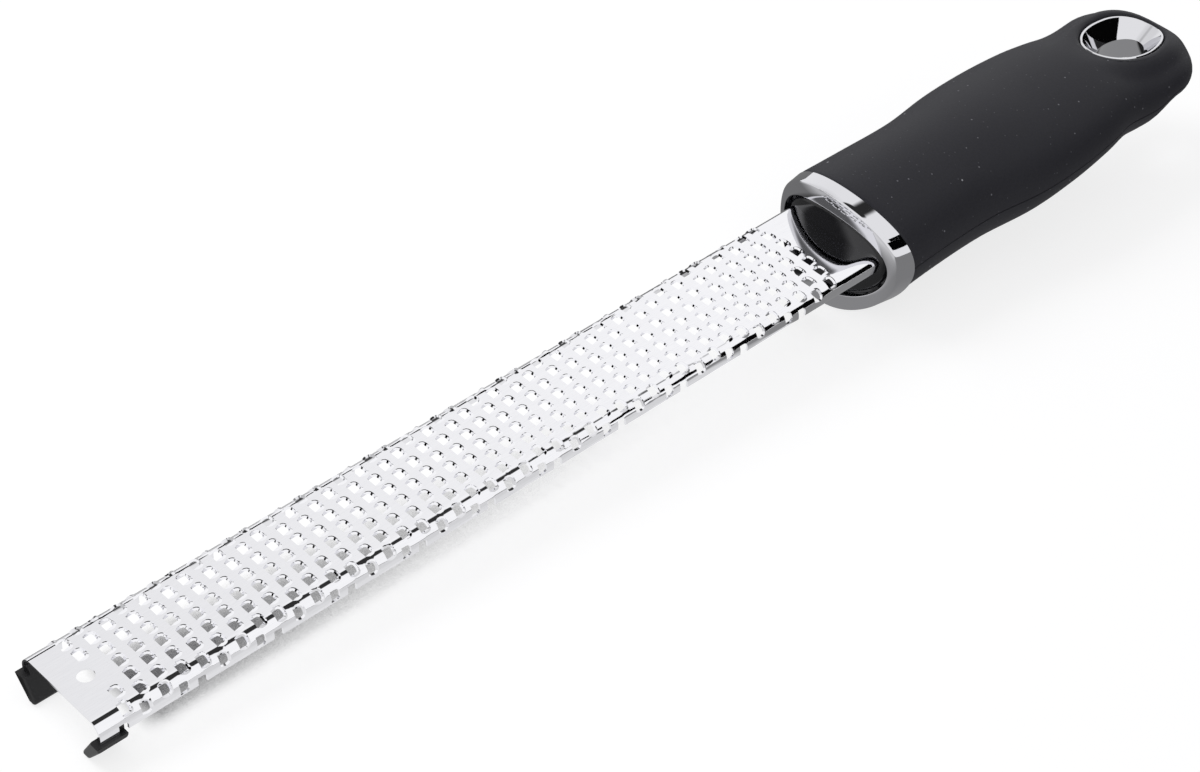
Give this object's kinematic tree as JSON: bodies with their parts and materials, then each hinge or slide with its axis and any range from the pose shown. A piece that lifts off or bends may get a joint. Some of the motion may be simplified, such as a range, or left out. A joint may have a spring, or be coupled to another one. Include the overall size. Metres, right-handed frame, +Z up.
{
  "type": "rasp zester",
  "caption": "Long narrow rasp zester: toothed steel channel blade on a soft grip handle with metal collar, hanging eyelet and rubber feet at the tip.",
  "frame": {"origin": "middle of the tool's footprint, on the surface that the feet and the collar rest on", "axes": "+X along the tool from blade tip to handle end, +Z up out of the toothed face"},
  "size_m": [0.3242, 0.0406, 0.0325],
  "materials": {
    "blade_steel": "bright rolled, photo-etched",
    "collar_chrome": "polished",
    "socket_plastic": "gloss",
    "core_plastic": "matte",
    "grip_rubber": "soft matte",
    "eyelet_plastic": "chrome plated, polished",
    "foot_rubber": "matte"
  },
  "bodies": {
    "root": {"blade": "blade_steel", "foot_left": "foot_rubber", "foot_right": "foot_rubber", "collar_ring": "collar_chrome", "blade_socket": "socket_plastic", "core_upper": "core_plastic", "core_lower": "core_plastic", "grip_sleeve": "grip_rubber", "hang_eyelet": "eyelet_plastic"}
  },
  "joints": []
}
